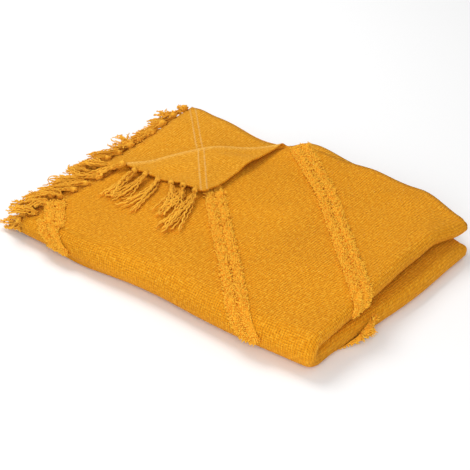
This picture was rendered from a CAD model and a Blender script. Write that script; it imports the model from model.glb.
import math

import bmesh
import bpy
import numpy as np
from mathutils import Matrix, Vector


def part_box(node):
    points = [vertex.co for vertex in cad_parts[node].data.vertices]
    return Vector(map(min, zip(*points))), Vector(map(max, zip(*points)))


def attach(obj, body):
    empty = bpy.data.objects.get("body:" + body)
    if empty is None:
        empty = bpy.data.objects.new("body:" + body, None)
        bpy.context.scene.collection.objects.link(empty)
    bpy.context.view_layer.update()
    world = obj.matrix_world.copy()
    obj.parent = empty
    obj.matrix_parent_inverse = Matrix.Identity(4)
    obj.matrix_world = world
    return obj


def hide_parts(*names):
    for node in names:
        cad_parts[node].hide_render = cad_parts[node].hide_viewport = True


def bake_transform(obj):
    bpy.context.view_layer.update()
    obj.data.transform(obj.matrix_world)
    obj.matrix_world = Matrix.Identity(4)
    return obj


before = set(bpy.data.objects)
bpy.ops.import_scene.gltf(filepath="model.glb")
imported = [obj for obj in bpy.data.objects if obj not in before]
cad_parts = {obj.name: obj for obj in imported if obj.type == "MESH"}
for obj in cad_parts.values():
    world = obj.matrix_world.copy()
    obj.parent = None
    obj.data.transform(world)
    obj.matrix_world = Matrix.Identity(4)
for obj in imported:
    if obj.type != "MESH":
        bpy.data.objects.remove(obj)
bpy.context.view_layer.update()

# ------------------------------------------------------------------ sizes
# The throw itself, in metres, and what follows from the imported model.
THROW_LENGTH = 1.7
THROW_WIDTH = 1.3
LEAVES = 4
CLOTH_LOW, CLOTH_HIGH = [np.array(corner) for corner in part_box("woven_cloth")]
CORNER_LOW, CORNER_HIGH = [np.array(corner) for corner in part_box("turned_corner")]
LEAF_LENGTH = THROW_LENGTH / LEAVES
LEAF_WIDTH = THROW_WIDTH / LEAVES
LEAF_LEFT = CLOTH_LOW[0]
LOWER_OVERHANG = CLOTH_HIGH[0] - CLOTH_LOW[0] - LEAF_LENGTH   # the lower half reaches further right
LEAF_BACK = CLOTH_HIGH[1]
LEAF_FRONT = LEAF_BACK - LEAF_WIDTH
STACK_TOP = CLOTH_HIGH[2]
PACK_GAP = 0.002
PITCH = (STACK_TOP - PACK_GAP) / LEAVES ** 2      # height that one layer takes up
SHEET = 0.0019                                     # thickness of the cloth itself
FRONT_BULGE = 0.008                                # the front roll stands past the leaf's front line
TURNED_LEG = CORNER_HIGH[0] - CORNER_LOW[0]
CREASE_RADIUS = 0.0036
GIVE = 0.012                                       # width of the strip that bends when the corner moves
TOP_MIDDLE = STACK_TOP - PITCH / 2                 # middle of the top layer
# The bend takes up cloth, so the flap's flat legs are longer than those of the corner lying turned over.
FLAP_LEG = TURNED_LEG + math.pi * CREASE_RADIUS / math.sqrt(2)
CREASE_START = np.array([CORNER_LOW[0], CORNER_LOW[1] + TURNED_LEG - FLAP_LEG])
CREASE_INTERCEPT = CREASE_START[0] - LEAF_LEFT - (CREASE_START[1] - LEAF_FRONT) + LEAF_WIDTH

BAND_WIDTH = 0.024
LOOP_RADIUS = 0.0062                               # of the one yarn that stands out of the fringe
PRESSED_PILE = 0.0024                              # height of the pile under the turned corner
TUFT_AREA = 2.2e-6                                 # cloth that one cut yarn end takes up
BAND_OFFSETS = {"left": 0.042, "middle": 0.325, "right": 0.515}

TASSEL_LENGTH = 0.074
TASSEL_PITCH = 0.0217
TASSELS_PER_LEAF = 15
FRINGED_LAYERS = 8
YARN_RADIUS = 0.00100
YARN_POINTS = 26                                   # along each yarn, knot and loop
YARN_SIDES = 5
CRINKLE_LENGTH = 0.0110                            # one wave of a yarn's crinkle

# How far the settled stack gives.
LEFT_SLUMP = 0.0122
FRONT_SLUMP = 0.0030
BACK_RIGHT_SLUMP = 0.0045
CREASE_SLUMP = 0.0090                              # behind the end of the crease
RISE_BESIDE = 0.0062                               # beside that slump
BROAD_WAVE, BROAD_LENGTH = 0.0013, 0.17
FINE_WAVE, FINE_LENGTH = 0.0006, 0.070
RIDGE_HEIGHT = 0.0045                              # along the crease
DIP_BEHIND = 0.0080                                # behind that ridge
RIM_HEIGHT = 0.0035                                # at the fringed edge
REACH_SHARE = 1.75                                 # of the overhang that the lower half reaches out
GAPE_HEIGHT = 0.0020                               # between the two halves
CORNER_ROUND = 0.024                               # the back right corner drawn towards the front


def leaf_xy(x, y):
    """Plan position of a point measured from the leaf's front left corner."""
    return LEAF_LEFT + x, LEAF_FRONT + y


# ------------------------------------------------------------ small helpers
def smooth(value, low, high):
    """A smooth step from 0 at low to 1 at high."""
    t = np.clip((value - low) / (high - low), 0.0, 1.0)
    return t * t * (3.0 - 2.0 * t)


def waves(x, y, seed, scale, count=7):
    """A repeatable smooth field of about unit size, with lumps about scale metres across."""
    rng = np.random.default_rng(seed)
    total = np.zeros(np.broadcast(x, y).shape)
    for _ in range(count):
        angle = rng.uniform(0, 2 * math.pi)
        size = scale * rng.uniform(0.7, 1.5)
        phase = rng.uniform(0, 2 * math.pi)
        total = total + np.sin((x * math.cos(angle) + y * math.sin(angle)) * 2 * math.pi / size + phase)
    return total / math.sqrt(count)


# ---------------------------------------------------------- the folded shape
def fold_over(across, height, layers, line, gap=0.0):
    """Folds what lies past line over on top of a stack of layers.

    Each layer bends round its own radius.
    """
    axis = (layers - 0.5) * PITCH + gap / 2
    centre = line - axis
    radius = axis - height
    angle = np.clip((across - centre) / radius, 0.0, math.pi)
    arc = math.pi * radius
    rest = np.clip(across - centre - arc, 0.0, None) * centre / (2 * line - centre - arc)
    past = across > centre
    new_across = np.where(past, centre + radius * np.sin(angle) - rest, across)
    new_height = np.where(past, axis - radius * np.cos(angle), height)
    return new_across, new_height


def bump_at(value, centre, width):
    """A smooth hump of height 1 at centre."""
    return np.exp(-((value - centre) / width) ** 2)


def settle(point):
    """How the whole stack gives: soft edges, slumps and slack waves."""
    x = point[..., 0] - LEAF_LEFT
    y = point[..., 1] - LEAF_FRONT
    z = point[..., 2]
    high = np.clip(z / STACK_TOP, 0.0, 1.3)
    left = (1.0 - smooth(x, 0.0, 0.15)) * (1.0 - 0.40 * smooth(y, 0.20, 0.30))
    front = 1.0 - smooth(y, -0.01, 0.10)
    back = smooth(y, LEAF_WIDTH - 0.09, LEAF_WIDTH)
    right = smooth(x, LEAF_LENGTH - 0.07, LEAF_LENGTH)
    near_back = smooth(y, LEAF_WIDTH - 0.110, LEAF_WIDTH - 0.010)
    # The layers slump behind the end of the crease, and rise again beside it.
    slump = bump_at(x, 0.126, 0.052) * near_back
    lift = -LEFT_SLUMP * left - FRONT_SLUMP * front * (1.0 - right)
    lift = lift - CREASE_SLUMP * slump - BACK_RIGHT_SLUMP * back * right
    lift = lift + RISE_BESIDE * bump_at(x, 0.210, 0.036) * near_back
    lift = lift + BROAD_WAVE * waves(x, y, 11, BROAD_LENGTH) + FINE_WAVE * waves(x, y, 12, FINE_LENGTH)
    # The turned corner holds the top layers up in a ridge across the middle of its crease.
    off_crease = (x - y + LEAF_WIDTH - CREASE_INTERCEPT) / math.sqrt(2)
    ridge = bump_at(off_crease, 0.004, 0.024) * bump_at(x + y, 0.327, 0.070)
    ridge = ridge + 0.8 * bump_at(off_crease, 0.0, 0.022) * bump_at(x + y, 0.510, 0.045)
    fades = 1.0 - 0.6 * smooth(-off_crease, 0.035, 0.080)
    behind = smooth(-off_crease, 0.002, 0.026) * fades * smooth(x + y, 0.12, 0.24)
    rim = bump_at(x, 0.020, 0.013) * smooth(y, 0.16, 0.22)
    near_top = smooth(z, 0.6 * STACK_TOP, STACK_TOP)
    lift = lift + (RIDGE_HEIGHT * ridge - DIP_BEHIND * behind + RIM_HEIGHT * rim) * near_top
    # The lower half's roll reaches further out, and the upper half lifts off it a little.
    upper = smooth(z, 0.46 * STACK_TOP, 0.56 * STACK_TOP)
    to_right = smooth(x, 0.55 * LEAF_LENGTH, LEAF_LENGTH)
    reach = REACH_SHARE * LOWER_OVERHANG * to_right * smooth(y, 0.02, 0.20)
    gape = smooth(x, 0.70 * LEAF_LENGTH, LEAF_LENGTH) * smooth(y, 0.02, 0.10) * (1.0 - back)
    wander = 0.0030 * waves(y, 0 * y, 21, 0.16) * (left + 0.5 * right)
    moved = point.copy()
    moved[..., 2] = z + lift * high + GAPE_HEIGHT * gape * upper
    moved[..., 0] = point[..., 0] + reach * (1.0 - upper) + wander
    inward = -0.0060 * slump * high + 0.0022 * waves(x, 0 * x, 22, 0.20) * (front + 0.5 * back)
    moved[..., 1] = point[..., 1] + inward
    # The free corner at the right is rounded.
    rounded = smooth(x, LEAF_LENGTH - 0.065, LEAF_LENGTH) * smooth(y, LEAF_WIDTH - 0.09, LEAF_WIDTH)
    moved[..., 1] -= CORNER_ROUND * rounded + 0.007 * bump_at(x, 0.350, 0.070) * back * high
    moved[..., 0] += 0.011 * rounded * upper
    # The lowest folds draw in at the front left, and one of them peeps out beside it.
    front_left = 0.004 * (1.0 - smooth(x, 0.03, 0.15)) * (1.0 - smooth(y, 0.0, 0.06))
    moved[..., 1] += front_left * (1.0 - high)
    lip = (1.0 - smooth(z, 0.12 * STACK_TOP, 0.20 * STACK_TOP)) * bump_at(x, 0.085, 0.050)
    moved[..., 1] -= 0.0050 * lip * (1.0 - smooth(y, 0.0, 0.05))
    # The crease draws the top layer's fringed edge in beside it.
    top_layer = smooth(z, 0.93 * STACK_TOP, 0.965 * STACK_TOP)
    moved[..., 0] += 0.012 * (top_layer * bump_at(x, 0.014, 0.060) * smooth(y, 0.04, 0.14))
    return moved


def folded(u, v):
    """Where the point (u, v) of the flat throw lies in the folded stack."""
    u = np.asarray(u, float)
    v = np.asarray(v, float)
    x, z = fold_over(u, 0.0 * u * v, 1, THROW_LENGTH / 2)
    y, z = fold_over(v + 0 * z, z, 2, THROW_WIDTH / 2)
    x, z = fold_over(x, z, 4, LEAF_LENGTH)
    y, z = fold_over(y, z, 8, LEAF_WIDTH + FRONT_BULGE, PACK_GAP)
    layer = np.clip(z / PITCH, 0, LEAVES ** 2 - 0.01)
    # Each layer's free edges stand back by a little of their own.
    back_in = 0.004 * waves(layer * 0.37, 0 * layer, 31, 1.0)
    back_in = back_in + 0.020 * (1 - smooth(layer, 0.2, 1.2)) * (1 - smooth(x, 0.19, 0.30))
    left_in = 0.003 * waves(layer * 0.29, 0 * layer, 32, 1.0) + 0.014 * (1 - smooth(layer, 0.2, 1.2))
    x = x + np.clip(left_in, 0, None) * (1 - smooth(x, 0.0, 0.20))
    y = y + np.clip(back_in, 0, None) * (1 - smooth(y, 0.0, 0.16))
    point = np.stack([LEAF_LEFT + x, LEAF_BACK - y, TOP_MIDDLE - z], axis=-1)
    return settle(point)


# ------------------------------------------------------------- mesh helpers
def new_object(name, vertices, faces, body, material):
    """A mesh object from arrays, riding on a body."""
    mesh = bpy.data.meshes.new(name)
    mesh.from_pydata([tuple(p) for p in vertices], [], [tuple(f) for f in faces])
    mesh.validate()
    mesh.polygons.foreach_set("use_smooth", [True] * len(mesh.polygons))
    obj = bpy.data.objects.new(name, mesh)
    bpy.context.scene.collection.objects.link(obj)
    mesh.materials.append(material)
    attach(obj, body)
    return obj


def set_attribute(obj, name, values):
    """Stores a vector for each vertex, for the material to read."""
    attribute = obj.data.attributes.new(name, "FLOAT_VECTOR", "POINT")
    attribute.data.foreach_set("vector", np.asarray(values, dtype=np.float32).ravel())


def tubes(paths, radii, sides):
    """Vertices and faces of round yarns. paths is (yarns, points, 3); radii is (yarns, points)."""
    count, points, _ = paths.shape
    tangent = np.gradient(paths, axis=1)
    tangent /= np.linalg.norm(tangent, axis=2, keepdims=True) + 1e-12
    helper = np.where(np.abs(tangent[..., 2:3]) < 0.9, [[[0.0, 0.0, 1.0]]], [[[1.0, 0.0, 0.0]]])
    side = np.cross(tangent, helper)
    side /= np.linalg.norm(side, axis=2, keepdims=True) + 1e-12
    up = np.cross(side, tangent)
    angles = np.arange(sides) * 2 * math.pi / sides
    ring = (side[:, :, None] * np.cos(angles)[:, None] + up[:, :, None] * np.sin(angles)[:, None])
    vertices = paths[:, :, None] + ring * radii[:, :, None, None]
    vertices = vertices.reshape(-1, 3)
    index = np.arange(count * points * sides).reshape(count, points, sides)
    after = np.roll(index, -1, axis=2)
    quads = np.stack([index[:, :-1], after[:, :-1], after[:, 1:], index[:, 1:]], axis=-1).reshape(-1, 4)
    caps = [list(row[::-1]) for row in index[:, 0]] + [list(row) for row in index[:, -1]]
    return vertices, [list(q) for q in quads] + caps


# ----------------------------------------------------------------- materials
class Nodes:
    """A short way to build a node tree."""

    def __init__(self, name, colour, roughness, sheen):
        self.material = bpy.data.materials.new(name)
        self.material.use_nodes = True
        self.tree = self.material.node_tree
        self.shader = self.tree.nodes["Principled BSDF"]
        self.shader.inputs["Base Color"].default_value = (*colour, 1)
        self.shader.inputs["Roughness"].default_value = roughness
        self.shader.inputs["Sheen Weight"].default_value = sheen
        self.shader.inputs["Sheen Roughness"].default_value = 0.45
        self.shader.inputs["Sheen Tint"].default_value = (1.0, 0.56, 0.12, 1)
        self.shader.inputs["Specular IOR Level"].default_value = 0.15

    def add(self, kind, **settings):
        node = self.tree.nodes.new(kind)
        for key, value in settings.items():
            if key in node.inputs.keys():
                node.inputs[key].default_value = value
            else:
                setattr(node, key, value)
        return node

    def link(self, source, target):
        self.tree.links.new(source, target)

    def math(self, operation, a, b=None):
        node = self.add("ShaderNodeMath", operation=operation)
        for slot, value in enumerate((a, b)):
            if value is None:
                continue
            if isinstance(value, (int, float)):
                node.inputs[slot].default_value = value
            else:
                self.link(value, node.inputs[slot])
        return node.outputs[0]

    def scaled(self, vector, scale):
        node = self.add("ShaderNodeVectorMath", operation="MULTIPLY")
        self.link(vector, node.inputs[0])
        node.inputs[1].default_value = scale
        return node.outputs[0]

    def noise(self, vector, scale, detail=2.0, roughness=0.5):
        node = self.add("ShaderNodeTexNoise", Scale=scale, Detail=detail, Roughness=roughness)
        self.link(vector, node.inputs["Vector"])
        return node.outputs["Fac"]

    def ramp(self, value, stops):
        node = self.add("ShaderNodeValToRGB")
        ramp = node.color_ramp
        while len(ramp.elements) < len(stops):
            ramp.elements.new(0.5)
        for element, (place, colour) in zip(ramp.elements, stops):
            element.position = place
            element.color = (*colour, 1)
        self.link(value, node.inputs["Fac"])
        return node.outputs["Color"]

    def mix(self, fraction, a, b, blend="MIX"):
        node = self.add("ShaderNodeMix", data_type="RGBA", blend_type=blend)
        for slot, value in ((0, fraction), (6, a), (7, b)):
            if isinstance(value, (int, float)):
                node.inputs[slot].default_value = value
            elif isinstance(value, tuple):
                node.inputs[slot].default_value = (*value, 1)
            else:
                self.link(value, node.inputs[slot])
        return node.outputs[2]

    def bump(self, height, distance, strength=1.0):
        node = self.add("ShaderNodeBump", Strength=strength, Distance=distance)
        self.link(height, node.inputs["Height"])
        self.link(node.outputs["Normal"], self.shader.inputs["Normal"])


WARP_PITCH = 0.0032      # between neighbouring warp yarns
WEFT_PITCH = 0.0028      # between neighbouring weft yarns
YARN_WANDER = 0.0022     # how far a yarn strays from its ruled line
WEAVE_DEPTH = 0.0012
YARN_DEPTH = 0.0008
STITCH_LINES = 0.0052    # distance of each stitch line from the middle of its band
STITCH_WANDER = 0.0024
STITCH_SHARPNESS = 450.0


def stitch_mask(m, flat):
    """1 on the two pale stitch lines that show behind each tufted band."""
    parts = m.add("ShaderNodeSeparateXYZ")
    m.link(flat, parts.inputs[0])
    masks = []
    rising = m.math("SUBTRACT", parts.outputs["X"], parts.outputs["Y"])
    falling = m.math("SUBTRACT", m.math("ADD", parts.outputs["X"], parts.outputs["Y"]), THROW_LENGTH)
    wobble = m.math("MULTIPLY", m.math("SUBTRACT", m.noise(flat, 160.0, 1.0), 0.5), STITCH_WANDER)
    for diagonal in (rising, falling):
        beside = m.math("ABSOLUTE", m.math("ADD", diagonal, wobble))
        off_line = m.math("ABSOLUTE", m.math("SUBTRACT", beside, STITCH_LINES))
        masks.append(m.math("SUBTRACT", 1.0, m.math("MULTIPLY", off_line, STITCH_SHARPNESS)))
    broken = m.noise(flat, 240.0, 2.0)
    either = m.math("MAXIMUM", m.math("MAXIMUM", *masks), 0.0)
    return m.math("MULTIPLY", either, m.math("MULTIPLY", broken, 1.6))


def cloth_material(name, deep, middle, light, stitched=False):
    """Slubby plain weave, read from the cloth's own flat coordinates."""
    m = Nodes(name, middle, 0.92, 0.20)
    flat = m.add("ShaderNodeAttribute", attribute_name="flat").outputs["Vector"]
    # Yarns wander a little, so the weave isn't a ruled grid.
    drift = m.add("ShaderNodeTexNoise", Scale=70.0, Detail=2.0)
    m.link(flat, drift.inputs["Vector"])
    centred = m.add("ShaderNodeVectorMath", operation="SUBTRACT")
    m.link(drift.outputs["Color"], centred.inputs[0])
    centred.inputs[1].default_value = (0.5, 0.5, 0.5)
    moved = m.add("ShaderNodeVectorMath", operation="ADD")
    m.link(flat, moved.inputs[0])
    m.link(m.scaled(centred.outputs[0], (YARN_WANDER, YARN_WANDER, 0.0)), moved.inputs[1])
    parts = m.add("ShaderNodeSeparateXYZ")
    m.link(moved.outputs[0], parts.inputs[0])
    along = m.math("MULTIPLY", parts.outputs["X"], math.pi / WARP_PITCH)
    across = m.math("MULTIPLY", parts.outputs["Y"], math.pi / WEFT_PITCH)
    weave = m.math("MULTIPLY", m.math("SINE", along), m.math("SINE", across))
    over = m.math("ADD", m.math("MULTIPLY", weave, 0.5), 0.5)
    rib_u = m.math("ABSOLUTE", m.math("SINE", along))
    rib_v = m.math("ABSOLUTE", m.math("SINE", across))
    weft = m.math("MULTIPLY", over, m.math("POWER", rib_v, 0.6))
    warp = m.math("MULTIPLY", m.math("SUBTRACT", 1.0, over), m.math("POWER", rib_u, 0.6))
    weave_height = m.math("ADD", weft, warp)
    # Slubs: thick places in single yarns, long along the yarn and one yarn wide.
    slub_weft = m.noise(m.scaled(moved.outputs[0], (220.0, 450.0, 1.0)), 1.0, 2.0)
    slub_warp = m.noise(m.scaled(moved.outputs[0], (430.0, 200.0, 1.0)), 1.0, 2.0)
    slub = m.math("ADD", m.math("MULTIPLY", slub_weft, 0.5), m.math("MULTIPLY", slub_warp, 0.5))
    height = m.math("ADD", weave_height, slub)
    fibre = m.noise(m.scaled(flat, (1700.0, 1700.0, 1.0)), 1.0, 2.0)
    height = m.math("ADD", height, m.math("MULTIPLY", fibre, 0.30))
    tone = m.ramp(slub, [(0.30, deep), (0.50, middle), (0.66, light)])
    hollow = m.ramp(weave_height, [(0.15, (0.50, 0.36, 0.20)), (0.62, (1.0, 1.0, 1.0))])
    colour = m.mix(1.0, tone, hollow, "MULTIPLY")
    broad = m.noise(m.scaled(flat, (9.0, 9.0, 1.0)), 1.0, 3.0)
    patch = m.ramp(broad, [(0.30, (0.94, 0.92, 0.89)), (0.70, (1.04, 1.04, 1.04))])
    colour = m.mix(1.0, colour, patch, "MULTIPLY")
    if stitched:
        stitch = stitch_mask(m, flat)
        colour = m.mix(m.math("MULTIPLY", stitch, 0.60), colour, (0.96, 0.60, 0.20))
        height = m.math("ADD", height, m.math("MULTIPLY", stitch, 0.6))
        worn = m.add("ShaderNodeAttribute", attribute_name="worn").outputs["Fac"]
        paler = m.math("MULTIPLY", worn, m.math("MULTIPLY", slub, 1.1))
        colour = m.mix(paler, colour, (1.0, 0.62, 0.16))
    m.link(colour, m.shader.inputs["Base Color"])
    m.bump(height, WEAVE_DEPTH, 1.0)
    return m.material


def yarn_material(name, deep, light, grain):
    """Soft cotton yarn: fibre from object space, tone from each yarn's own number."""
    m = Nodes(name, light, 0.95, 0.20)
    place = m.add("ShaderNodeTexCoord").outputs["Object"]
    tone = m.add("ShaderNodeSeparateXYZ")
    m.link(m.add("ShaderNodeAttribute", attribute_name="tone").outputs["Vector"], tone.inputs[0])
    fine = m.noise(place, grain, 3.0, 0.65)
    from_tip = m.math("MULTIPLY", tone.outputs["X"], 0.45)
    from_yarn = m.math("MULTIPLY", tone.outputs["Y"], 0.30)
    own = m.math("ADD", from_tip, from_yarn)
    value = m.math("ADD", m.math("MULTIPLY", fine, 0.55), own)
    colour = m.ramp(value, [(0.30, deep), (0.85, light)])
    m.link(colour, m.shader.inputs["Base Color"])
    m.bump(fine, YARN_DEPTH, 0.8)
    return m.material


FRONT = cloth_material(
    "woven_cotton_front", (0.66, 0.222, 0.003), (0.82, 0.315, 0.006), (0.97, 0.47, 0.028)
)
REVERSE = cloth_material(
    "woven_cotton_reverse", (0.70, 0.252, 0.006), (0.84, 0.345, 0.012), (0.97, 0.50, 0.045), stitched=True
)
PILE = yarn_material("pile_yarn", (0.76, 0.25, 0.004), (1.0, 0.54, 0.045), 900.0)
YARN = yarn_material("fringe_yarn", (0.60, 0.21, 0.006), (0.98, 0.50, 0.045), 1100.0)


# ---------------------------------------------------------------- the cloth
def spaced(total, fine_spans, coarse, fine):
    """Grid lines from 0 to total, closer together inside the fine spans."""
    lines = [0.0]
    while lines[-1] < total - 1e-9:
        here = lines[-1]
        close = any(low - coarse <= here < high for low, high in fine_spans)
        lines.append(min(total, here + (fine if close else coarse)))
    return np.array(lines)


def grid_faces(rows, columns):
    """Quads of a grid of rows by columns vertices."""
    index = np.arange(rows * columns).reshape(rows, columns)
    quads = np.stack([index[:-1, :-1], index[1:, :-1], index[1:, 1:], index[:-1, 1:]], axis=-1)
    return quads.reshape(-1, 4)


def thicken(obj):
    """Gives a sheet its thickness, both ways from its middle, with the reverse's own material."""
    obj.data.materials.append(REVERSE)
    solid = obj.modifiers.new("thickness", "SOLIDIFY")
    solid.thickness = SHEET
    solid.offset = 0.0
    solid.use_even_offset = False
    solid.material_offset = 1
    solid.material_offset_rim = 0


def crease_plane():
    """A point on the crease and the level direction out of the stack across it."""
    return np.array([*CREASE_START, 0.0]), np.array([-1.0, 1.0, 0.0]) / math.sqrt(2)


def build_cloth():
    """The whole throw, folded, without the corner that is turned over."""
    # The folds, where the grid has to be finer.
    across = [(0.300, 0.392), (0.640, 0.668), (0.905, 1.005)]
    along = [(0.408, 0.456), (0.842, 0.864), (1.240, 1.292)]
    us = spaced(THROW_LENGTH, along, 0.007, 0.002)
    vs = spaced(THROW_WIDTH, across, 0.007, 0.0028)
    v, u = np.meshgrid(vs, us)
    points = folded(u, v).reshape(-1, 3)
    flat = np.stack([u, v, 0 * u], axis=-1).reshape(-1, 3)
    faces = grid_faces(len(us), len(vs))[:, ::-1]
    cloth = new_object("woven_cloth_folded", points, faces, "stack", FRONT)
    set_attribute(cloth, "flat", flat)
    bm = bmesh.new()
    bm.from_mesh(cloth.data)
    layer = bm.verts.layers.float_vector["flat"]
    origin, outward = crease_plane()
    near = [f for f in bm.faces if all(w[layer].x < 0.25 and w[layer].y < 0.25 for w in f.verts)]
    parts = set(near)
    for face in near:
        parts.update(face.edges)
        parts.update(face.verts)
    bmesh.ops.bisect_plane(
        bm, geom=list(parts), plane_co=Vector(origin), plane_no=Vector(outward), clear_outer=True
    )
    bm.to_mesh(cloth.data)
    bm.free()
    thicken(cloth)
    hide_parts("woven_cloth")
    return cloth


def turned(x, y):
    """Where a point of the top layer's corner, at plan position x, y, lies once turned over."""
    origin, outward = crease_plane()
    px = np.asarray(x, float)
    py = np.asarray(y, float)
    past = (px - origin[0]) * outward[0] + (py - origin[1]) * outward[1]
    run = (px - origin[0]) * -outward[1] + (py - origin[1]) * outward[0]
    along = np.stack([-outward[1] * np.ones_like(px), outward[0] * np.ones_like(px)], axis=-1)
    radius = CREASE_RADIUS
    angle = np.clip(past / radius, 0, math.pi)
    back = np.clip(past - math.pi * radius, 0, None)
    reach = radius * np.sin(angle) - back
    level = radius * (1 - np.cos(angle))
    # Past the bend the flap comes down until it lies on the layer below.
    lying = 1.3 * SHEET
    level = np.where(back > 0, lying + (level - lying) * np.exp(-back / 0.020), level)
    reach = np.where(past < 0, past, reach)
    plan = origin[:2] + along * run[..., None] + outward[:2] * reach[..., None]
    free = smooth(back, 0.004, 0.03)
    plan[..., 1] -= 0.010 * free * bump_at(run, 0.045, 0.06)
    # It doesn't lie quite square to its crease.
    plan[..., 0] -= 0.050 * back
    plan[..., 1] -= 0.062 * back
    base = np.concatenate([plan, TOP_MIDDLE + 0 * reach[..., None]], axis=-1)
    rest = settle(base)
    rest[..., 2] += level
    # The free part lifts along its selvedge.
    from_selvedge = CORNER_LOW[1] + TURNED_LEG - py
    lift = 0.0038 * free * np.exp(-from_selvedge / 0.012)
    # Its own pile, pressed flat under it, holds it up along its diagonal.
    off_band = (px - CREASE_START[0] - from_selvedge) / math.sqrt(2)
    lift = lift + PRESSED_PILE * free * bump_at(off_band, 0.0, 0.6 * BAND_WIDTH)
    lift = lift + 0.0016 * free * (1 + waves(plan[..., 0], plan[..., 1], 41, 0.05))
    rest[..., 2] += lift + 0.0012 * free
    return rest


def corner_sheet():
    """The corner that is turned over, with the bend at its crease."""
    origin, outward = crease_plane()
    low = CREASE_START
    steps = 80
    lines = np.linspace(0.0, FLAP_LEG, steps)
    gy, gx = np.meshgrid(lines, lines)
    plan = np.stack([low[0] + gx, low[1] + gy, 0 * gx], axis=-1).reshape(-1, 3)
    bm = bmesh.new()
    vertices = [bm.verts.new(p) for p in plan]
    for face in grid_faces(steps, steps):
        bm.faces.new([vertices[i] for i in face])
    geometry = bm.verts[:] + bm.edges[:] + bm.faces[:]
    start = Vector(origin)
    bmesh.ops.bisect_plane(bm, geom=geometry, plane_co=start, plane_no=Vector(-outward), clear_outer=True)
    step = CREASE_RADIUS * math.pi / 8
    for k in range(1, 9):
        geometry = bm.verts[:] + bm.edges[:] + bm.faces[:]
        cut = start + Vector(outward) * step * k
        bmesh.ops.bisect_plane(bm, geom=geometry, plane_co=cut, plane_no=Vector(outward))
    mesh = bpy.data.meshes.new("turned_corner_cloth")
    bm.to_mesh(mesh)
    bm.free()
    flat_plan = np.array([v.co[:] for v in mesh.vertices])
    px, py = flat_plan[:, 0], flat_plan[:, 1]
    # Between the knots the fringed edge is drawn in a little.
    from_edge = px - low[0]
    between_knots = np.abs(np.sin(math.pi * (py - low[1]) / TASSEL_PITCH))
    scallop = 0.0016 * between_knots * (1 - smooth(from_edge, 0.0, 0.012))
    final = turned(px + scallop, py)
    for vertex, place in zip(mesh.vertices, final):
        vertex.co = place
    mesh.polygons.foreach_set("use_smooth", [True] * len(mesh.polygons))
    obj = bpy.data.objects.new("turned_corner_cloth", mesh)
    bpy.context.scene.collection.objects.link(obj)
    mesh.materials.append(FRONT)
    flat = np.stack([px - low[0], low[1] + FLAP_LEG - py, 0 * px], axis=-1)
    set_attribute(obj, "flat", flat)
    # Along the bend the yarns stand open and look paler.
    past = (px - origin[0]) * outward[0] + (py - origin[1]) * outward[1]
    worn = bump_at(past, 0.75 * math.pi * CREASE_RADIUS, 0.0060)
    set_attribute(obj, "worn", np.stack([worn, worn, worn], axis=-1))
    thicken(obj)
    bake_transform(obj)
    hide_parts("turned_corner")
    return obj


# ------------------------------------------------------------- tufted bands
def surface_frame(u, v):
    """Point on the throw's front side with its normal and the two directions along the cloth."""
    step = 0.0012
    point = folded(u, v)
    du = folded(u + step, v) - folded(u - step, v)
    dv = folded(u, v + step) - folded(u, v - step)
    du /= np.linalg.norm(du, axis=-1, keepdims=True)
    dv /= np.linalg.norm(dv, axis=-1, keepdims=True)
    normal = np.cross(dv, du)
    normal /= np.linalg.norm(normal, axis=-1, keepdims=True)
    return point, normal, du, dv


def corner_frame(u, v):
    """What surface_frame gives, on the turned corner, whose front side faces down."""
    step = 0.0012
    x = CREASE_START[0] + u
    y = CREASE_START[1] + FLAP_LEG - v
    point = turned(x, y)
    du = turned(x + step, y) - turned(x - step, y)
    dv = turned(x, y - step) - turned(x, y + step)
    du /= np.linalg.norm(du, axis=-1, keepdims=True)
    dv /= np.linalg.norm(dv, axis=-1, keepdims=True)
    normal = np.cross(dv, du)
    normal /= np.linalg.norm(normal, axis=-1, keepdims=True)
    return point, normal, du, dv


def pile_height(across, along, seed):
    """Height of the tufting's body: two lumpy rows with a groove between them."""
    row = (np.abs(across) - 0.26 * BAND_WIDTH) / (0.26 * BAND_WIDTH)
    hump = np.sqrt(np.clip(1.0 - row ** 2, 0.0, 1.0))
    lumps = 1.0 + 0.26 * waves(along, across, seed, 0.012) + 0.20 * waves(along, across, seed + 1, 0.006)
    return 0.0034 * hump * np.clip(lumps, 0.4, 1.5)


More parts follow.
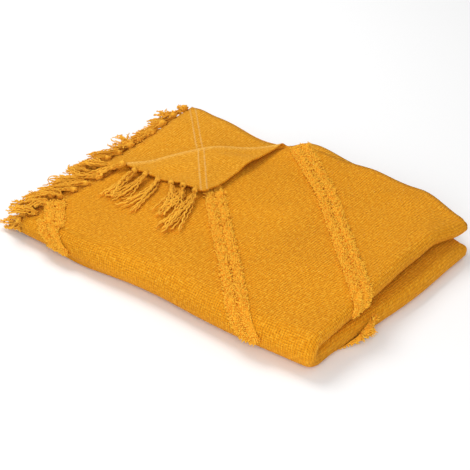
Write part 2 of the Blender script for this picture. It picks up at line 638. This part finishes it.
def band(name, node, difference, u_from, u_to, seed, tall=1.0, turned_over=False):
    """Two rows of cut pile along the line u - v = difference of the flat throw.

    tall is their share of the full height.
    """
    rng = np.random.default_rng(seed)
    frame_at = corner_frame if turned_over else surface_frame

    def on_band(along, across):
        u = along + across / math.sqrt(2)
        return frame_at(u, u - difference - across * math.sqrt(2))

    def share_of_height(normal):
        """Pile that faces down is pressed flat, except under the turned corner."""
        return tall * (1.0 if turned_over else smooth(normal[..., 2], -0.9, -0.1))

    # The body of the tufting.
    rows = np.linspace(-BAND_WIDTH / 2, BAND_WIDTH / 2, 19)
    columns = np.arange(u_from, u_to, 0.0011)
    across, along = np.meshgrid(rows, columns)
    point, normal, _, _ = on_band(along, across)
    top_side = share_of_height(normal)
    body = point + normal * (SHEET * 0.3 + pile_height(across, along, seed) * top_side)[..., None]
    vertices = [body.reshape(-1, 3)]
    faces = [list(f[::-1]) for f in grid_faces(len(columns), len(rows))]
    nothing = 0 * along.ravel()
    tones = [np.stack([0.25 + nothing, 0.5 + nothing, nothing], axis=1)]
    # The cut yarn ends that stand out of it.
    count = int((u_to - u_from) * math.sqrt(2) * BAND_WIDTH / TUFT_AREA)
    along = rng.uniform(u_from, u_to, count)
    across = rng.uniform(0.05, 0.5, count) * rng.choice([-1, 1], count) * BAND_WIDTH * 0.97
    point, normal, du, dv = on_band(along, across)
    top_side = share_of_height(normal)
    height = pile_height(across, along, seed) * top_side
    root = point + normal * (height * 0.8)[:, None]
    row = (np.abs(across) / BAND_WIDTH - 0.26) / 0.26 * np.sign(across)
    lean = (du - dv) / math.sqrt(2) * (row * 0.75 + rng.normal(0, 0.40, count))[:, None]
    lean = lean + (du + dv) / math.sqrt(2) * rng.normal(0, 0.45, count)[:, None]
    length = (rng.uniform(0.0022, 0.0038, count) * (0.3 + 0.7 * top_side) * np.ones(count))[:, None]
    direction = normal + lean
    direction /= np.linalg.norm(direction, axis=1, keepdims=True)
    curl = rng.normal(0, 0.25, (count, 3)) * length
    middle = root + direction * length * 0.6 + curl * 0.3
    paths = np.stack([root, middle, root + direction * length + curl], axis=1)
    thick = rng.uniform(0.00060, 0.00095, count)
    radii = np.stack([thick, thick, thick * 0.7], axis=1)
    yarn_vertices, yarn_faces = tubes(paths, radii, 4)
    start = len(vertices[0])
    faces += [[index + start for index in face] for face in yarn_faces]
    vertices.append(yarn_vertices)
    shade = np.repeat(rng.uniform(0, 1, count), 12)
    tip = np.tile(np.repeat([0.3, 0.7, 1.0], 4), count)
    tones.append(np.stack([tip, shade, 0 * shade], axis=1))
    vertices = np.concatenate(vertices)
    ground = stack_floor(vertices[:, 0], vertices[:, 1]) if turned_over else 0.0003
    vertices[:, 2] = np.maximum(vertices[:, 2], ground)
    obj = new_object(name, vertices, faces, "corner" if turned_over else "stack", PILE)
    set_attribute(obj, "tone", np.concatenate(tones))
    if node:
        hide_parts(node)
    return obj


# ------------------------------------------------------------------ tassels
def tassel(root, heading, rng, floor, length, bend, spread, yarns, drop=None, fine=1.0):
    """Yarn paths of one knotted tassel.

    root is the cloth's edge, heading the plan angle it lies along, bend how far it turns by its tip, and
    floor(x, y) the height of what it lies on. With drop, it comes down from the root's height to the floor
    over that share of its length.
    """
    t = np.linspace(0, 1, YARN_POINTS)
    paths, radii = [], []
    for _ in range(yarns):
        own_bend = bend + rng.normal(0, 0.22) * spread
        turn = heading + own_bend * t ** 1.4
        turn = turn + 0.16 * spread * t * np.sin(t * rng.uniform(5, 9) + rng.uniform(0, 6))
        reach = length * rng.uniform(0.82, 1.06)
        step = reach / (YARN_POINTS - 1)
        plan = np.cumsum(np.stack([np.cos(turn), np.sin(turn)], axis=1) * step, axis=0)
        plan -= plan[0]
        side = np.stack([-np.sin(turn), np.cos(turn)], axis=1)
        neck = 1 - 0.72 * np.exp(-((t - 0.07) / 0.06) ** 2)
        fan = rng.uniform(-1, 1) * (0.0030 + 0.0026 * t * spread) * neck
        past_neck = smooth(t, 0.10, 0.25)
        crinkle = 0.00085 * np.sin(t * reach / CRINKLE_LENGTH * 2 * math.pi + rng.uniform(0, 6)) * past_neck
        xy = root[:2] + plan + side * (fan + crinkle)[:, None]
        rest = floor(xy[:, 0], xy[:, 1])
        if drop is not None:
            rest = rest + (root[2] - rest) * (1 - smooth(t, 0.0, drop)) ** 1.5
        else:
            rest = rest + (root[2] - rest) * np.exp(-t * 9)
        pile = rng.uniform(0, 1)
        heap = 0.0060 * pile * (1 - 0.45 * t) * neck
        ripple = 0.0010 * np.cos(t * reach / CRINKLE_LENGTH * 2 * math.pi + rng.uniform(0, 6)) * past_neck
        z = np.maximum(rest + YARN_RADIUS + heap + np.abs(ripple), YARN_RADIUS)
        paths.append(np.concatenate([xy, z[:, None]], axis=1))
        thick = fine * YARN_RADIUS * rng.uniform(0.80, 1.15)
        ply = 1 + 0.16 * np.sin(t * reach / 0.0030 * math.pi + rng.uniform(0, 6))
        radii.append(thick * ply * np.where(t > 0.97, 0.75, 1.0))
    return paths, radii


def knot(centre, heading, rng, size=0.0031):
    """A knot, as four turns of yarn round the bundle."""
    paths, radii = [], []
    t = np.linspace(0, 1, YARN_POINTS)
    forward = np.array([math.cos(heading), math.sin(heading), 0.0])
    side = np.array([-forward[1], forward[0], 0.0])
    for k in range(4):
        tilt = rng.normal(0, 0.35)
        offset = (k - 1.5) * size * 0.42
        phase = rng.uniform(0, 2 * math.pi)
        angle = phase + t * 2 * math.pi * 1.04
        wide = size * rng.uniform(0.72, 0.95) * (1 - 0.16 * abs(k - 1.5))
        ring = np.cos(angle)[:, None] * side + np.sin(angle)[:, None] * np.array([0, 0, 1.0])
        place = centre + forward * offset + ring * wide
        place = place + forward * (np.sin(angle + tilt) * size * 0.35 * tilt)[:, None]
        place[:, 2] = np.maximum(place[:, 2], 0.0015)
        paths.append(place)
        radii.append(np.full(len(t), YARN_RADIUS * rng.uniform(1.10, 1.45)))
    return paths, radii


def build_tassels(name, node, body, roots, rng_seed, floor, strays=(), **settings):
    """One object of knots and yarns for the given (root, heading, bend, length factor) list."""
    rng = np.random.default_rng(rng_seed)
    paths = list(strays)
    radii = [np.full(len(path), 0.6 * YARN_RADIUS) for path in strays]
    for root, heading, bend, reach in roots:
        root = np.asarray(root, float)
        yarn_paths, yarn_radii = tassel(root, heading, rng, floor, TASSEL_LENGTH * reach, bend, **settings)
        centre = root + 0.0052 * np.array([math.cos(heading), math.sin(heading), 0.0]) + [0, 0, 0.0022]
        knot_paths, knot_radii = knot(centre, heading, rng)
        paths += yarn_paths + knot_paths
        radii += yarn_radii + knot_radii
    vertices, faces = tubes(np.array(paths), np.array(radii), YARN_SIDES)
    obj = new_object(name, vertices, faces, body, YARN)
    each = YARN_POINTS * YARN_SIDES
    own = np.repeat(rng.uniform(0, 1, len(paths)), each)
    tip = np.tile(np.repeat(np.linspace(0.2, 0.9, YARN_POINTS), YARN_SIDES), len(paths))
    set_attribute(obj, "tone", np.stack([tip, own, 0 * own], axis=1))
    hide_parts(*node)
    return obj


def stack_floor(x, y):
    """Top of the stack at a plan position, for what lies on it."""
    point = np.stack([x, y, STACK_TOP + 0 * x], axis=-1)
    return settle(point)[..., 2] + 0.0002


def build_corner_tassels():
    """The seven tassels of the turned corner, which lie towards the front.

    lies has the lean, the bend and the length factor of each.
    """
    lies = [
        (-0.92, 0.90, 0.62), (0.12, 0.15, 0.90), (0.20, -0.35, 0.90), (0.48, -0.90, 1.05),
        (0.85, -0.90, 1.05), (0.65, -0.80, 0.72), (0.36, -0.10, 1.25),
    ]
    pieces = []
    for number, (lean, bend, reach) in enumerate(lies):
        run = (number + 0.5) * TASSEL_PITCH
        place = turned(np.array([CORNER_LOW[0]]), np.array([CORNER_LOW[1] + run]))[0]
        roots = [(place, -math.pi / 2 + lean, bend, reach)]
        piece = build_tassels(
            f"corner_tassel_yarns_{number + 1}", [f"corner_tassel_{number + 1}"], "corner",
            roots, 100 + number, stack_floor, spread=1.15, yarns=13,
        )
        pieces.append(piece)
    return pieces


def stray_loop(root):
    """One yarn that stands up from root in a loose loop."""
    t = np.linspace(0, 1, YARN_POINTS)
    turn = 2 * math.pi * (t - 0.25)
    across = LOOP_RADIUS * (1.25 * np.cos(turn) - 0.6 * t)
    up = LOOP_RADIUS * (np.sin(turn) + 1.0)
    return np.stack([root[0] + across * 0.8, root[1] + across * 0.6, root[2] + up], axis=1)


def fringe_u(number):
    """Which flat edge, u = 0 or the far end, and which v leaf layer number of the fringe is on."""
    cells = [(end, leaf) for end in (0.0, THROW_LENGTH) for leaf in range(LEAVES)]
    heights = [folded(end, (leaf + 0.5) * LEAF_WIDTH)[2] for end, leaf in cells]
    order = np.argsort(heights)
    return cells[order[number]]


def build_fringe():
    """The tassels of the eight fringed layers at the left end."""
    pieces = []
    for number in range(FRINGED_LAYERS):
        end, leaf = fringe_u(number)
        is_top = number == FRINGED_LAYERS - 1
        rng = np.random.default_rng(300 + number)
        roots = []
        for index in range(TASSELS_PER_LEAF):
            v = (leaf + (index + 0.5) / TASSELS_PER_LEAF) * LEAF_WIDTH + rng.normal(0, 0.0012)
            place = folded(end, v)
            if is_top and place[1] > CORNER_LOW[1] - 0.004:
                continue
            if place[1] < LEAF_FRONT - 0.004:
                continue
            lean = rng.normal(0.12, 0.38)
            from_front = place[1] - LEAF_FRONT
            reach = rng.uniform(0.45, 0.80)
            reach *= 0.72 + 0.28 * smooth(from_front, 0.02, 0.07) - 0.25 * smooth(from_front, 0.13, 0.22)
            roots.append((place, math.pi + lean, rng.normal(0, 0.7), reach))
        base = 0.0 if number < 4 else 0.008 + 0.004 * (number - 4)
        base = base + 0.0018 * (number % 4)

        def floor(x, y, base=base):
            near = smooth(x, LEAF_LEFT - 0.06, LEAF_LEFT + 0.01)
            return base + near * (0.010 if base > 0.007 else 0.004)

        strays = [stray_loop(np.array([*leaf_xy(-0.010, 0.072), 0.038]))] if is_top else []
        piece = build_tassels(
            f"fringe_yarns_{number + 1}", [f"fringe_layer_{number + 1}"], "stack",
            roots, 200 + number, floor, spread=1.5, yarns=12, drop=0.85, fine=0.78, strays=strays,
        )
        pieces.append(piece)
    return pieces


cloth = build_cloth()
corner = corner_sheet()

band_lines = {side: offset - LEAF_WIDTH for side, offset in BAND_OFFSETS.items()}
band("band_left_pile", "tufted_band_left", band_lines["left"], 0.0, 0.074, 51)
band("band_middle_pile", "tufted_band_middle", band_lines["middle"], 0.165, 0.354, 52)
band("band_right_pile", "tufted_band_right", band_lines["right"], 0.192, 0.440, 53)
band("band_lower_pile", "tufted_band_lower", band_lines["middle"] + 0.004, 0.402, 0.433, 54, tall=2.0)

# The middle band runs on across the turned corner, and on the stack under it, pressed flat.
band_end = FLAP_LEG / 2 - GIVE
corner_band = band("band_corner_pile", None, 0.0, 0.014, band_end, 55, tall=0.5, turned_over=True)
band("band_covered_pile", None, band_lines["middle"], FLAP_LEG / 2 + GIVE, 0.165, 56, tall=0.3)

corner_pieces = build_corner_tassels() + [corner_band]
fringe_pieces = build_fringe()


# ------------------------------------------------------- camera, light, floor
def build_camera():
    """A long lens from the front right, looking down at the stack."""
    azimuth = math.radians(37.1)
    elevation = math.radians(34.3)
    distance = 1.860
    target = Vector((*leaf_xy(0.217, 0.1345), 0.022))
    level = math.cos(elevation)
    back = Vector((math.sin(azimuth) * level, -math.cos(azimuth) * level, math.sin(elevation)))
    data = bpy.data.cameras.new("camera")
    data.lens = 120.0
    data.sensor_width = 36.0
    camera = bpy.data.objects.new("camera", data)
    camera.location = target + back * distance
    camera.rotation_euler = back.to_track_quat("Z", "Y").to_euler()
    bpy.context.scene.collection.objects.link(camera)
    bpy.context.scene.camera = camera


def add_area_light(name, place, size, power):
    """A large soft lamp aimed at the middle of the stack."""
    data = bpy.data.lights.new(name, "AREA")
    data.shape = "DISK"
    data.size = size
    data.energy = power
    lamp = bpy.data.objects.new(name, data)
    lamp.location = place
    lamp.rotation_euler = Vector(place).to_track_quat("Z", "Y").to_euler()
    bpy.context.scene.collection.objects.link(lamp)


def build_studio():
    """A white floor, even white light, a lamp at the upper left and one at the front right."""
    world = bpy.data.worlds.new("studio")
    world.use_nodes = True
    background = world.node_tree.nodes["Background"]
    background.inputs["Color"].default_value = (1, 1, 1, 1)
    background.inputs["Strength"].default_value = 0.50
    bpy.context.scene.world = world
    add_area_light("key", (-0.9, 0.25, 1.45), 0.9, 16.0)
    add_area_light("fill", (0.9, -1.25, 0.9), 1.4, 16.0)
    floor = bpy.data.meshes.new("floor")
    half = 6.0
    corners = [(-half, -half, 0), (half, -half, 0), (half, half, 0), (-half, half, 0)]
    floor.from_pydata(corners, [], [(0, 1, 2, 3)])
    plane = bpy.data.objects.new("floor", floor)
    paint = bpy.data.materials.new("floor_white")
    paint.use_nodes = True
    shader = paint.node_tree.nodes["Principled BSDF"]
    shader.inputs["Base Color"].default_value = (0.93, 0.93, 0.93, 1)
    shader.inputs["Roughness"].default_value = 0.9
    floor.materials.append(paint)
    bpy.context.scene.collection.objects.link(plane)


build_camera()
build_studio()
bpy.context.scene.view_settings.view_transform = "Standard"
